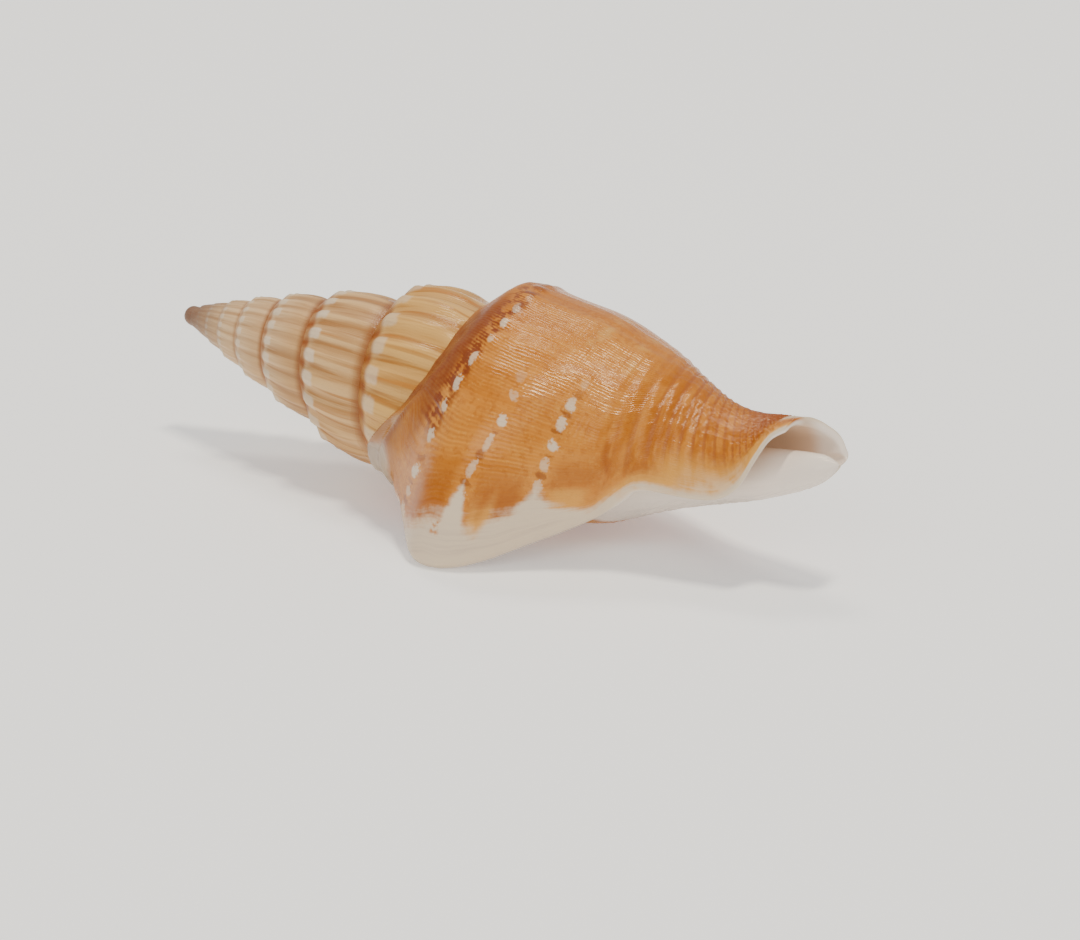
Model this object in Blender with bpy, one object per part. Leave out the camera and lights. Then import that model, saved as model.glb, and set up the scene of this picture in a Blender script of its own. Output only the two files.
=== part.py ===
"""A spired conch shell with a flared outer lip, lying on its aperture, as one closed solid.

The shell is a ribbon that winds round an axis and widens at a steady rate. Places on it are given by
`back`, the degrees of growth back from the edge of the outer lip, and by `run`, which goes from 0 at the
seam with the whorl before to 1 at the front end of the last whorl. Lengths are in millimetres until the
points are placed. On the axis X runs from the tip of the spire to the front end, +Z is the shell's back.
"""

import math

import bmesh
import bpy
import numpy as np
from mathutils import Matrix

MM = 0.001

# The spiral.
GROWTH_PER_TURN = 1.435
TURNS = 7.5
SPIRE_START = -2.8  # where the spiral's cone would end, beyond the worn tip
SEAM_REACH = 37.4  # the seam's distance from there, at the lip
SEAM_RADIUS = 10.7
SEAM_CURVE = 0.815  # under 1, the spire swells a little
SEAM_SLIP = 0.9  # how far the seam of the whorl before the last strays forward
TIP_DOME = 1.4
FRONT_END = 71.0
LIP_ANGLE = 110.0  # degrees from the back of the shell round to the lip's edge

# The whorls.
WHORL_SWELL = 0.041
PLUMP = 0.35  # how much more the whorl before the last swells
RIBS_PER_TURN = 20
RIB_START = -6.0
RIB_HEIGHT = 0.026

# The outer lip, the canal and the wall.
FLARE_SPAN = 110.0
FLARE_POWER = 1.6
CANAL_SPAN = 222.0
UNDERSIDE_FLAT = 0.11  # how much flatter the last whorl is where it faces the ground
WALL = 1.0
LIP_WALL = 2.0
LIP_WALL_SPAN = 40.0
MOUTH_GAP = 0.6
EDGE_ROUNDING = 0.4

# How the shell lies.
ROLL = 6.2
PITCH = 3.8
FOOT_FLAT = 0.2

# The mesh.
STEPS_PER_TURN = 60
WHORL_PLACES = (0.0, 0.10, 0.24, 0.48, 0.78, 1.0)
BODY_COLUMNS = 22
WELD = 0.005

# Where the seam climbs the whorl before it: back, share of that whorl left uncovered.
CLIMB = ((0, 0.09), (20, 0.33), (40, 0.64), (66, 0.88), (90, 0.98), (120, 1.03), (160, 1.02), (200, 1.0))
# The swell of a whorl between its seams: share of the way, share of the swell.
SWELL = ((0, 0), (0.06, 0.32), (0.15, 0.68), (0.25, 0.89), (0.4, 1.0), (0.6, 0.87), (0.8, 0.50), (1, 0))
RIB_SHAPE = ((0, 0), (0.06, 0.7), (0.13, 1.0), (0.25, 0.7), (0.5, 0.6), (0.85, 0.35), (1, 0))
# The last whorl's radius along its run.
BODY = (
    (0, 10.7), (0.043, 12.3), (0.085, 13.7), (0.135, 14.05), (0.188, 14.05), (0.254, 13.8), (0.325, 13.45),
    (0.41, 12.7), (0.497, 11.5), (0.602, 9.15), (0.681, 7.3), (0.764, 6.0), (0.84, 5.55), (1.0, 5.1),
)
# The pillar in the middle of the last whorl: place on the axis, radius.
PILLAR = ((58, 2.9), (62, 2.8), (64.4, 2.6), (65.6, 2.4), (67, 2.1), (68.1, 1.8), (69.2, 1.4), (71, 0.5))
# The lip's edge: run, place on the axis, radius, degrees back from LIP_ANGLE.
LIP = (
    (0, 24.9, 8.7, 0), (0.05, 27.3, 11.1, 9), (0.098, 30.0, 12.8, 7), (0.16, 33.3, 16.9, 2),
    (0.205, 35.7, 19.8, 0), (0.25, 38.0, 20.4, 0), (0.29, 40.1, 19.7, 0), (0.34, 42.3, 17.9, 0),
    (0.393, 44.5, 15.2, 0), (0.45, 47.1, 12.1, 0), (0.51, 49.8, 9.5, 2), (0.555, 51.5, 8.4, 14),
    (0.60, 53.3, 8.15, 25), (0.66, 55.8, 7.5, 25), (0.72, 58.6, 7.0, 20), (0.78, 61.4, 6.3, 16),
    (0.84, 63.3, 5.9, 27), (0.90, 64.3, 5.7, 50), (0.95, 65.1, 5.4, 74), (1.0, 65.7, 5.1, 92),
)
# The rim of the canal from the lip's front end round to the pillar: back, place on the axis, radius.
RIM = (
    (0, 65.7, 5.1), (50, 66.0, 5.0), (95, 66.6, 4.9), (140, 67.7, 4.5), (190, 69.6, 3.5), (210, 70.5, 2.4),
    (222, 71, 0),
)
# The front end bends towards the shell's back: place on the axis, rise.
BEND = ((48, 0), (54, 0.45), (58, 1.2), (62, 2.3), (66, 3.6), (71, 5.4))


def curve(keys, x, column=1):
    """A smooth curve through the keys, read at x."""
    keys = np.asarray(keys, float)
    xs, ys = keys[:, 0], keys[:, column]
    step = np.diff(xs)
    rise = np.diff(ys) / step
    middle = (rise[:-1] * step[1:] + rise[1:] * step[:-1]) / (step[1:] + step[:-1])
    slope = np.concatenate((rise[:1], middle, rise[-1:]))
    x = np.clip(x, xs[0], xs[-1])
    i = np.clip(np.searchsorted(xs, x, side="right") - 1, 0, len(xs) - 2)
    t = (x - xs[i]) / step[i]
    start = (1 + 2 * t) * (1 - t) ** 2 * ys[i] + t * (1 - t) ** 2 * step[i] * slope[i]
    end = t * t * (3 - 2 * t) * ys[i + 1] - t * t * (1 - t) * step[i] * slope[i + 1]
    return start + end


def ease(x, start, end):
    """0 at start and 1 at end, with a smooth step between; start may lie past end."""
    t = np.clip((x - start) / (end - start), 0, 1)
    return t * t * (3 - 2 * t)


def seam_line(back):
    """(place, radius) of the seam of a shell that never made a lip."""
    growth = GROWTH_PER_TURN ** (-back / 360)
    slip = SEAM_SLIP * ease(back, 330, 500) * ease(back, 760, 560)
    return SPIRE_START + SEAM_REACH * growth + slip, SEAM_RADIUS * growth**SEAM_CURVE


def tube_radius(back, place):
    """The radius of the shell without its lip."""
    growth = GROWTH_PER_TURN ** (-back / 360)
    first, first_radius = seam_line(back)
    last, last_radius = seam_line(back - 360)
    t = np.clip((place - first) / (last - first), 0, 1)
    fade = ease(growth, 0.03, 0.2)
    rib = 0.5 + 0.5 * np.cos(np.radians(RIBS_PER_TURN * (back - RIB_START)))
    rib = rib * ease(back, 330, 450) * fade
    swell = WHORL_SWELL * curve(SWELL, t) * fade * (1 + PLUMP * ease(growth, 0.42, 0.55))
    swell = swell + RIB_HEIGHT * curve(RIB_SHAPE, t) * rib
    whorl = first_radius + (last_radius - first_radius) * t + swell * (first - SPIRE_START)
    run = np.clip((place - first) / (FRONT_END - first), 0, 1)
    body = curve(BODY, run) * growth**SEAM_CURVE
    core = curve(PILLAR, place) * (1 - 0.5 * ease(back, 330, 430))
    to_core = ease(back, 120, 330) * ease(run, 0.29, 0.97)
    body = body + (core - body) * to_core
    to_whorl = ease(back, 260, 350) * ease(place, 1.15 * last, last)
    worn = ease(back, 210, 290) * ease(back, 400, 320) * ease(run, 0.04, 0.16) * ease(run, 0.85, 0.5)
    return (body + (whorl - body) * to_whorl) * (1 - UNDERSIDE_FLAT * worn)


def canal_rim(back):
    return curve(RIM, back), curve(RIM, back, 2)


def plain_profile(back, run):
    """(place, radius) along a whorl without its lip, down to the rim of the canal or the pillar's end."""
    first, _ = seam_line(back)
    place = first + (FRONT_END - first) * run
    radius = tube_radius(back, place)
    end_place, end_radius = canal_rim(back)
    closed = ease(back, 150, CANAL_SPAN)
    start = 0.80 + 0.12 * closed
    t = np.clip((run - start) / (1 - start), 0, 1)
    flat_end = ease(t, 0, 1)
    round_end = 1 - np.sqrt(1 - t * t)
    to_end = flat_end + (round_end - flat_end) * closed
    radius = radius + (end_radius - tube_radius(back, FRONT_END)) * to_end
    return place + (end_place - FRONT_END) * ease(run, 0.75, 1.0), radius


def seam(back):
    """(place, radius) where the last whorl meets the one before it."""
    first, _ = seam_line(back + 360)
    last, _ = seam_line(back)
    place = first + (last - first) * curve(CLIMB, back)
    return place, tube_radius(back + 360, place)


def body_profile(back, run):
    """(place, radius, angle) on the outside of the last whorl, with the lip's flare."""
    near_seam = ease(run, 0.14, 0)
    place, radius = plain_profile(back, run)
    seam_place, seam_radius = seam(back)
    first, first_radius = plain_profile(back, 0 * run)
    place = place + (seam_place - first) * near_seam
    radius = radius + (seam_radius - first_radius) * near_seam
    lip_place, lip_radius = plain_profile(0.0, run)
    seam_place, seam_radius = seam(0.0)
    first, first_radius = plain_profile(0.0, 0 * run)
    lip_place = lip_place + (seam_place - first) * near_seam
    lip_radius = lip_radius + (seam_radius - first_radius) * near_seam
    grown = np.clip(1 - back / FLARE_SPAN, 0, 1) ** FLARE_POWER
    grown = grown * ease(run, 0, 0.05) * ease(run, 1.0, 0.86)
    place = place + (curve(LIP, run) - lip_place) * grown
    radius = radius + (curve(LIP, run, 2) - lip_radius) * grown**1.15
    angle = LIP_ANGLE - back - curve(LIP, run, 3) * ease(back, 190, 0)
    return place, radius, angle


def put(place, radius, angle):
    """The point in space, on the axis's own frame."""
    angle = np.radians(angle)
    place, radius, angle = np.broadcast_arrays(place, radius, angle)
    return np.stack((place, -radius * np.sin(angle), radius * np.cos(angle) + curve(BEND, place)), axis=-1)


def body_point(back, run):
    return put(*body_profile(back, run))


def pillar_point(back, run):
    return put(*plain_profile(back, run), LIP_ANGLE - back)


def unit(vectors):
    return vectors / np.linalg.norm(vectors, axis=-1, keepdims=True)


def growth_direction(back, run):
    return unit(body_point(back - 0.5, run) - body_point(back + 0.5, run))


def forward_direction(back, run):
    return unit(body_point(back, np.minimum(run + 0.002, 1)) - body_point(back, run - 0.002))


def inner_point(back, run):
    """A point of the inner wall, straight under the outer one."""
    wall = WALL + (LIP_WALL - WALL) * ease(back, LIP_WALL_SPAN, 0) * ease(run, 0.95, 0.7)
    wall = wall * (1 - ease(run, 0.94, 1.0) * ease(back, 190, CANAL_SPAN))
    square = unit(np.cross(growth_direction(back, run), forward_direction(back, run)))
    place, radius, angle = body_profile(back, run)
    radial = put(place, radius + 1, angle) - put(place, radius, angle)
    outward = unit(square + (radial - square) * ease(run, 0.7, 0.85)[..., None])
    return body_point(back, run) - outward * wall[..., None]


def sheet(shell, points):
    """A grid of faces with its corners at the points, given in rows."""
    rows, columns = points.shape[:2]
    corners = bmesh.ops.create_grid(shell, x_segments=columns - 1, y_segments=rows - 1, size=1.0)["verts"]
    for corner, point in zip(corners, points.reshape(-1, 3)):
        corner.co = point * MM


def cap(shell, points):
    """One many-sided face, later cut into triangles."""
    shell.faces.new([shell.verts.new(point * MM) for point in points])


def body_columns():
    """Runs of the last whorl's columns: closer together at the shoulder and at the front end."""
    share = np.linspace(0, 1, BODY_COLUMNS + 1)
    return curve(((0, 0), (0.3, 0.15), (0.55, 0.33), (0.78, 0.68), (0.9, 0.91), (1, 1)), share)


def run_at(back, place):
    first, _ = seam_line(back)
    return (place - first) / (FRONT_END - first)


def corner_place(back):
    """Where the inner wall stands on the whorl before."""
    return seam(back)[0] + LIP_WALL


def hidden_columns():
    """Runs of the columns one turn back from the lip, where the lip stands on the whorl before it."""
    first, _ = seam_line(360.0)
    foot, _ = seam(0.0)
    covered = run_at(360.0, first + (foot - first) * np.array(WHORL_PLACES))
    under_lip = run_at(360.0, foot + LIP_WALL * np.array((0.5, 1.0)))
    share = np.linspace(0, 1, BODY_COLUMNS - len(WHORL_PLACES))
    rest = curve(((0, under_lip[-1]), (0.65, 0.75), (0.85, 0.94), (1, 1)), share)
    return np.concatenate((covered, under_lip, rest[1:]))


def last_whorl():
    back = np.linspace(0, 360, STEPS_PER_TURN + 1)[:, None]
    run = body_columns() + (hidden_columns() - body_columns()) * ease(back, 250, 360)
    points = body_point(back, run)
    points[-1] = pillar_point(360.0, hidden_columns())
    return points


def spire():
    back = np.arange(STEPS_PER_TURN, int(TURNS * STEPS_PER_TURN) + 1)[:, None] * 360 / STEPS_PER_TURN
    first, _ = seam_line(back)
    last, _ = seam_line(back - 360)
    bared = curve(CLIMB, back - 360)
    place = first + (last - first) * bared * np.array(WHORL_PLACES)
    return put(place, tube_radius(back, place), LIP_ANGLE - back)


def tip_dome():
    """From the worn tip down to the first turn's seam."""
    steps = int(TURNS * STEPS_PER_TURN)
    back = np.arange(steps - STEPS_PER_TURN, steps + 1)[:, None] * 360 / STEPS_PER_TURN
    quarter = np.linspace(0, np.pi / 2, 3)
    place, radius = seam_line(back)
    tip = seam_line(360 * TURNS)[0] - TIP_DOME
    bluntness = 1.5 - 0.5 * ease(back, back[0], back[-1])
    rise = (1 - np.cos(quarter)) ** bluntness
    return put(tip + (place - tip) * rise, radius * np.sin(quarter), LIP_ANGLE - back)


def cavity_steps():
    return np.arange(0, CANAL_SPAN + 1, 360 / STEPS_PER_TURN)[:, None]


def clear_of_whorl(points):
    """Lifts points off the whorl that the mouth opens on, where they would sink into it."""
    place = points[..., 0]
    across = -points[..., 1]
    up = points[..., 2] - curve(BEND, place)
    angle = np.degrees(np.arctan2(across, up))
    back = LIP_ANGLE - angle + 360
    gap = MOUTH_GAP * ease(place - corner_place(back - 360), 0, 2) * ease(place, FRONT_END, FRONT_END - 6)
    floor = plain_profile(back, run_at(back, place))[1] + gap
    return put(place, np.maximum(np.hypot(across, up), floor), angle)


def inner_wall():
    """The inside of the last whorl. Its first column stands on the whorl before."""
    back = cavity_steps()
    points = clear_of_whorl(inner_point(back, 0.055 + 0.945 * body_columns()))
    place = corner_place(back)
    points[:, :1] = put(place, tube_radius(back + 360, place), LIP_ANGLE - back)
    return points


def pillar():
    """The whorl before, seen from inside the mouth, and the pillar down to the front end."""
    back = cavity_steps()
    start = run_at(back + 360, corner_place(back))
    under = hidden_columns()[len(WHORL_PLACES) + 1:]
    share = (under - under[0]) / (1 - under[0])
    return pillar_point(back + 360, start + (1 - start) * share)


def rolled_edge(outer, inner, foot):
    """The rounded edge of the lip and of the canal's rim, between the outer and the inner wall."""
    outside = np.concatenate((outer[0], outer[1:len(inner), -1]))
    inside = np.concatenate((inner[0], inner[1:, -1]))
    along = np.gradient(outside, axis=0)
    across = inside - outside
    outward = np.cross(across, along)
    outward[:-1] = unit(outward[:-1])
    thickness = np.linalg.norm(across, axis=-1, keepdims=True)
    crest = (outside + inside) / 2 + EDGE_ROUNDING * thickness * outward
    crest[0] = foot
    return np.stack((outside, crest, inside))


def make_shell():
    shell = bmesh.new()
    outer = last_whorl()
    inner = inner_wall()
    middle = pillar()
    tip = tip_dome()
    turns = spire()
    for points in (outer, turns, tip, inner, middle):
        sheet(shell, points)
    sheet(shell, rolled_edge(outer, inner, outer[-1, len(WHORL_PLACES)]))
    cap(shell, np.concatenate((inner[-1], middle[-1, -2:0:-1])))
    cap(shell, np.concatenate((tip[-1], turns[-1, 1:], tip[0, -2:0:-1])))
    bmesh.ops.remove_doubles(shell, verts=shell.verts, dist=WELD * MM)
    bmesh.ops.dissolve_degenerate(shell, edges=shell.edges, dist=WELD * MM)
    bmesh.ops.triangulate(shell, faces=shell.faces)
    bmesh.ops.recalc_face_normals(shell, faces=shell.faces)
    if shell.calc_volume(signed=True) < 0:
        bmesh.ops.reverse_faces(shell, faces=shell.faces)
    return shell


def lay_down(shell):
    """Turns the shell as it lies, wears its lowest spots flat and sets it over the origin."""
    turned = Matrix.Rotation(math.radians(PITCH), 3, "Y") @ Matrix.Rotation(math.radians(ROLL), 3, "X")
    bmesh.ops.rotate(shell, verts=shell.verts, matrix=turned)
    places = np.array([corner.co for corner in shell.verts])
    low, high = places.min(axis=0), places.max(axis=0)
    middle = (low + high) / 2
    floor = low[2] + FOOT_FLAT * MM
    bmesh.ops.translate(shell, verts=shell.verts, vec=(-middle[0], -middle[1], -floor))
    for corner in shell.verts:
        corner.co.z = max(corner.co.z, 0.0)


def shell_material():
    material = bpy.data.materials.new("glossy_shell")
    material.use_nodes = True
    surface = material.node_tree.nodes["Principled BSDF"]
    surface.inputs["Base Color"].default_value = (0.58, 0.27, 0.09, 1)
    surface.inputs["Roughness"].default_value = 0.35
    surface.inputs["Metallic"].default_value = 0.0
    return material


def main():
    for thing in list(bpy.data.objects):
        bpy.data.objects.remove(thing)
    shell = make_shell()
    lay_down(shell)
    mesh = bpy.data.meshes.new("shell")
    shell.to_mesh(mesh)
    shell.free()
    mesh.materials.append(shell_material())
    mesh.shade_smooth()
    mesh.set_sharp_from_angle(angle=math.radians(50))
    bpy.context.scene.collection.objects.link(bpy.data.objects.new("shell", mesh))


main()
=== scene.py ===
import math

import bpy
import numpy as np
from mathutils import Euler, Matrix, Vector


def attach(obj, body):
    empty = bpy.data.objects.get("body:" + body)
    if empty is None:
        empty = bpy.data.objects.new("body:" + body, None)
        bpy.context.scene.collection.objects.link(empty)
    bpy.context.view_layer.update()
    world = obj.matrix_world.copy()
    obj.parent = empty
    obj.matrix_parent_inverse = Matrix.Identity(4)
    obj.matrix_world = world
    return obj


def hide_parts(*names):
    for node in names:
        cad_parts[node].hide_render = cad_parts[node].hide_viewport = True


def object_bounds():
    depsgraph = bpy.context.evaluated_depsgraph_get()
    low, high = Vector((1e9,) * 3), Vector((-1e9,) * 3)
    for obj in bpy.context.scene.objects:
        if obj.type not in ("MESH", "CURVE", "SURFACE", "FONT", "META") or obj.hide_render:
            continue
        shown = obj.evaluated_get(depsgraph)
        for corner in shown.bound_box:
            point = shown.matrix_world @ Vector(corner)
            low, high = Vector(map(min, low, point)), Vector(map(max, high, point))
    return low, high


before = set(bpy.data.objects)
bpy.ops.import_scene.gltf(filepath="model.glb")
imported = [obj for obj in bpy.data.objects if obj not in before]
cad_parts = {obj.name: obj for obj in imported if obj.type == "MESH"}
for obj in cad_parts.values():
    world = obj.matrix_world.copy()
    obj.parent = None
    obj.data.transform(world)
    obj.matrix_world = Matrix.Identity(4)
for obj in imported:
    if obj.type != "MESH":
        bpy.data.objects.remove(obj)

# A spired conch shell lying on its mouth side on a pale floor.
#
# The shell is a ribbon that winds round an axis and widens at a steady rate. Places on it are given
# by `back`, the degrees of growth back from the edge of the outer lip, and by `run`, which goes from
# 0 at the seam with the whorl before to 1 at the front end of the last whorl. `share` goes from 0 to
# 1 between one seam and the next. Lengths are in millimetres until points are placed.

MM = 0.001
CAD_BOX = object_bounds()

# The spiral, the whorls and the lip, close to the solid's.
GROWTH_PER_TURN = 1.435
TURNS = 8.5
SPIRE_START = -2.8
SEAM_REACH = 37.4
SEAM_RADIUS = 10.7
SEAM_CURVE = 0.815
SEAM_SLIP = 0.9
TIP_DOME = 0.8
FRONT_END = 71.0
LIP_ANGLE = 110.0
WHORL_SWELL = 0.041
PLUMP = 0.35
RIBS_PER_TURN = 20
RIB_START = -6.0
RIB_HEIGHT = 0.030
FLARE_SPAN = 110.0
FLARE_POWER = 1.6
CANAL_SPAN = 222.0
UNDERSIDE_FLAT = 0.11
WALL = 1.0
LIP_WALL = 2.0
LIP_WALL_SPAN = 40.0
MOUTH_GAP = 0.6
EDGE_ROUNDING = 0.4
ROLL = 6.2
PITCH = 3.8
FOOT_FLAT = 0.2
# Where the seam lies on the whorl before: back, share.
CLIMB = ((0, 0.09), (20, 0.33), (40, 0.64), (66, 0.88), (90, 0.98), (120, 1.03), (160, 1.02), (200, 1.0))
# How the whorls of the spire swell, and how high their ribs stand: share, strength.
SWELL = ((0, 0), (0.06, 0.32), (0.15, 0.68), (0.25, 0.89), (0.4, 1.0), (0.6, 0.87), (0.8, 0.50), (1, 0))
RIB_SHAPE = ((0, 0), (0.06, 0.4), (0.13, 0.95), (0.19, 1.25), (0.29, 0.85), (0.5, 0.62), (0.85, 0.35), (1, 0))
# The outside of the last whorl: run, radius. The pillar inside it: place, radius.
BODY = (
    (0, 10.7), (0.043, 12.3), (0.085, 13.7), (0.135, 14.05), (0.188, 14.05), (0.254, 13.8), (0.325, 13.45),
    (0.41, 12.7), (0.497, 11.5), (0.602, 9.15), (0.681, 7.3), (0.764, 6.0), (0.84, 5.55), (1.0, 5.1),
)
PILLAR = ((58, 2.9), (62, 2.8), (64.4, 2.6), (65.6, 2.42), (67, 2.2), (68.1, 1.95), (69.2, 1.65), (71, 0.5))
# The edge of the lip: run, place, radius, degrees that it lags behind.
LIP = (
    (0, 24.9, 8.7, 0), (0.05, 27.3, 11.1, 9), (0.098, 30.0, 12.8, 7), (0.16, 33.3, 16.9, 2),
    (0.205, 35.7, 19.8, 0), (0.25, 38.0, 20.4, 0), (0.29, 40.1, 19.7, 0), (0.34, 42.3, 17.9, 0),
    (0.393, 44.5, 15.2, 0), (0.45, 47.1, 12.1, 0), (0.51, 49.8, 9.5, 2), (0.555, 51.5, 8.4, 14),
    (0.60, 53.3, 8.15, 25), (0.66, 55.8, 7.5, 25), (0.72, 58.6, 7.0, 20), (0.78, 61.4, 6.3, 16),
    (0.84, 63.3, 5.9, 27), (0.90, 64.3, 5.7, 50), (0.95, 65.1, 5.4, 74), (1.0, 65.7, 5.1, 92),
)
# The rim of the canal: back, place, radius. The canal's upward bend: place, rise.
RIM = (
    (0, 65.7, 5.1), (50, 66.0, 5.0), (95, 66.6, 4.9), (140, 67.7, 4.5), (190, 69.6, 3.5), (210, 70.5, 2.4),
    (222, 71, 0),
)
BEND = ((48, 0), (54, 0.45), (58, 1.2), (62, 2.3), (66, 3.6), (71, 5.4))

# The fine surface and what is raised on it.
FINE_STEP = 1.5
FINE_SPAN = 132.0
COARSE_STEP = 3.0
BODY_COLUMNS = 190
WHORL_COLUMNS = 20
EDGE_ROWS = 8
WELD = 0.004
SMOOTH_ANGLE = 50
THREADS = 12.0
THREAD_DRIFT = 0.0004
THREAD_SPREAD = 0.0011
THREADS_TURN = (0.4, 0.85)
THREAD_HEIGHT = 0.22
WRINKLE_HEIGHT = 0.05
KNOB_HEIGHT = 0.2
KNOB_SPACING = 10.7
KNOB_RUN = 0.15
KNOB_WIDTH = 0.022
BELLY_RISE = 0.4
BELLY_RUN = 0.5
BELLY_BACK = 305
INNER_START = 0.055
# How much fuller the far side of the last whorl is: run, rise.
FAR_SIDE = (
    (0, 0), (0.05, 0.12), (0.1, 0.3), (0.2, 0.12), (0.36, 0.3), (0.5, 0.08), (0.62, -0.25), (0.72, -0.22),
    (0.8, 0.05), (0.86, 0.2), (0.93, 0.1), (1, 0),
)


# ---- The growth of the shell ----

def curve(keys, x, column=1):
    """A smooth curve through the keys, read at x."""
    keys = np.asarray(keys, float)
    xs, ys = keys[:, 0], keys[:, column]
    step = np.diff(xs)
    rise = np.diff(ys) / step
    middle = (rise[:-1] * step[1:] + rise[1:] * step[:-1]) / (step[1:] + step[:-1])
    slope = np.concatenate((rise[:1], middle, rise[-1:]))
    x = np.clip(x, xs[0], xs[-1])
    i = np.clip(np.searchsorted(xs, x, side="right") - 1, 0, len(xs) - 2)
    t = (x - xs[i]) / step[i]
    start = (1 + 2 * t) * (1 - t) ** 2 * ys[i] + t * (1 - t) ** 2 * step[i] * slope[i]
    end = t * t * (3 - 2 * t) * ys[i + 1] - t * t * (1 - t) * step[i] * slope[i + 1]
    return start + end


def ease(x, start, end):
    """0 at start and 1 at end, with a smooth step between; start may lie past end."""
    t = np.clip((x - start) / (end - start), 0, 1)
    return t * t * (3 - 2 * t)


def growth_at(back):
    return GROWTH_PER_TURN ** (-back / 360)


def seam_line(back):
    """(place, radius) of the seam behind the whorl."""
    growth = growth_at(back)
    slip = SEAM_SLIP * ease(back, 330, 500) * ease(back, 760, 560)
    return SPIRE_START + SEAM_REACH * growth + slip, SEAM_RADIUS * growth**SEAM_CURVE


def share_of_whorl(back, place):
    first, _ = seam_line(back)
    last, _ = seam_line(back - 360)
    return (place - first) / (last - first)


def run_at(back, place):
    first, _ = seam_line(back)
    return (place - first) / (FRONT_END - first)


def threads(back, run):
    """Raised threads that wind round the front of the shell, closer together towards the end."""
    line = run + back * (THREAD_DRIFT + THREAD_SPREAD * ease(run, *THREADS_TURN))
    turn = 2 * np.pi * THREADS * (line + line**4)
    strength = ease(run, 0.42, 0.60) * (1 - 0.5 * ease(run, 0.72, 0.92))
    return THREAD_HEIGHT * strength * (0.5 + 0.5 * np.cos(turn)) ** 0.8


def shoulder_knobs(back, run):
    """Low knobs along the shoulder of the last whorl."""
    wave = 0.5 + 0.5 * np.cos(2 * np.pi * (back - 1.5) / KNOB_SPACING)
    return KNOB_HEIGHT * wave * np.exp(-((run - KNOB_RUN) / KNOB_WIDTH) ** 2) * ease(back, 20, 45)


def wrinkles(back, share):
    """Low growth ridges across the last whorl."""
    bent = back + 4.0 * np.sin(share * 2.1) + 1.5 * np.sin(share * 5.3 + 1.0)
    ridges = np.sin(bent * 0.41) * 0.5 + np.sin(bent * 0.83 + 1.7) * 0.3
    ridges = ridges + np.sin(bent * 1.57 + 0.4 * share) * 0.2
    return WRINKLE_HEIGHT * ridges


def tube_radius(back, place):
    """The radius of the shell without its lip."""
    growth = growth_at(back)
    first, first_radius = seam_line(back)
    last, last_radius = seam_line(back - 360)
    t = np.clip((place - first) / (last - first), 0, 1)
    fade = ease(growth, 0.03, 0.2)
    rib = 0.5 + 0.5 * np.cos(np.radians(RIBS_PER_TURN * (back - RIB_START)))
    rib = rib * ease(back, 330, 450) * fade
    swell = WHORL_SWELL * curve(SWELL, t) * fade * (1 + PLUMP * ease(growth, 0.42, 0.55))
    swell = swell + RIB_HEIGHT * curve(RIB_SHAPE, t) * rib
    whorl = first_radius + (last_radius - first_radius) * t + swell * (first - SPIRE_START)
    run = np.clip((place - first) / (FRONT_END - first), 0, 1)
    body = curve(BODY, run) * growth**SEAM_CURVE
    core = curve(PILLAR, place) * (1 - 0.3 * ease(back, 330, 430))
    to_core = ease(back, 120, 330) * ease(run, 0.29, 0.97)
    body = body + (core - body) * to_core
    to_whorl = ease(back, 260, 350) * ease(place, 1.15 * last, last)
    worn = ease(back, 210, 290) * ease(back, 400, 320) * ease(run, 0.04, 0.16) * ease(run, 0.85, 0.5)
    return (body + (whorl - body) * to_whorl) * (1 - UNDERSIDE_FLAT * worn)


def canal_rim(back):
    return curve(RIM, back), curve(RIM, back, 2)


def plain_profile(back, run):
    """(place, radius) along a whorl without its lip, down to the rim of the canal or the pillar's end."""
    first, _ = seam_line(back)
    place = first + (FRONT_END - first) * run
    radius = tube_radius(back, place)
    end_place, end_radius = canal_rim(back)
    closed = ease(back, 150, CANAL_SPAN)
    start = 0.80 + 0.12 * closed
    t = np.clip((run - start) / (1 - start), 0, 1)
    flat_end = ease(t, 0, 1)
    round_end = 1 - np.sqrt(1 - t * t)
    to_end = flat_end + (round_end - flat_end) * closed
    radius = radius + (end_radius - tube_radius(back, FRONT_END)) * to_end
    return place + (end_place - FRONT_END) * ease(run, 0.75, 1.0), radius


def seam(back):
    """(place, radius) where the last whorl meets the one before it."""
    first, _ = seam_line(back + 360)
    last, _ = seam_line(back)
    place = first + (last - first) * curve(CLIMB, back)
    return place, tube_radius(back + 360, place)


def seamed_profile(back, run):
    """(place, radius) along the last whorl without its lip, starting at the seam."""
    near_seam = ease(run, 0.14, 0)
    place, radius = plain_profile(back, run)
    seam_place, seam_radius = seam(back)
    first, first_radius = plain_profile(back, 0 * run)
    return place + (seam_place - first) * near_seam, radius + (seam_radius - first_radius) * near_seam


def body_profile(back, run):
    """(place, radius, angle) on the outside of the last whorl, with the lip's flare."""
    place, radius = seamed_profile(back, run)
    lip_place, lip_radius = seamed_profile(0.0, run)
    grown = np.clip(1 - back / FLARE_SPAN, 0, 1) ** FLARE_POWER
    grown = grown * ease(run, 0, 0.05) * ease(run, 1.0, 0.86)
    place = place + (curve(LIP, run) - lip_place) * grown
    radius = radius + (curve(LIP, run, 2) - lip_radius) * grown**1.15
    angle = LIP_ANGLE - back - curve(LIP, run, 3) * ease(back, 190, 0)
    return place, radius, angle


def put(place, radius, angle):
    """The point in space, in the axis's own frame."""
    angle = np.radians(angle)
    place, radius, angle = np.broadcast_arrays(place, radius, angle)
    return np.stack((place, -radius * np.sin(angle), radius * np.cos(angle) + curve(BEND, place)), axis=-1)


def body_point(back, run):
    return put(*body_profile(back, run))


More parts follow.
